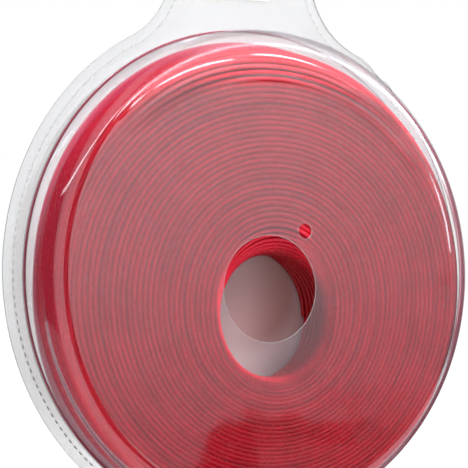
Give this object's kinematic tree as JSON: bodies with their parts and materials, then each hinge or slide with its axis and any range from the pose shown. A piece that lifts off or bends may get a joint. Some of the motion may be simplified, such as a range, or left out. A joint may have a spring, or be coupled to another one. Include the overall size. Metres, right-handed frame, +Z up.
{
  "type": "fishing line pack",
  "caption": "Flat round clear hang pack with a slotted hang tab and an open window, holding a flat coil of thick red line that turns as the line is drawn out.",
  "frame": {"origin": "the point on the parting plane of the two sheets where a peg bears in the crown of the hang slot", "axes": "+Z up as the pack hangs, -Y out of the front of the dome, +X to the right as the front is seen"},
  "size_m": [0.24, 0.0245, 0.274],
  "materials": {
    "clear_sheet": "clear, glossy, thin formed sheet",
    "weld_marks": "small raised grey weld marks",
    "red_line": "smooth, slightly see-through red line"
  },
  "bodies": {
    "pack": {"front_shell": "clear_sheet", "back_shell": "clear_sheet", "weld_seam": "weld_marks"},
    "coil": {"coil_core": "red_line", "coil_turns": "red_line"}
  },
  "joints": [
    {"name": "coil_turn", "type": "hinge", "parent": "pack", "child": "coil", "pos_m": [0.0015, 0, -0.144], "axis": [0, 1, 0], "continuous": true}
  ]
}
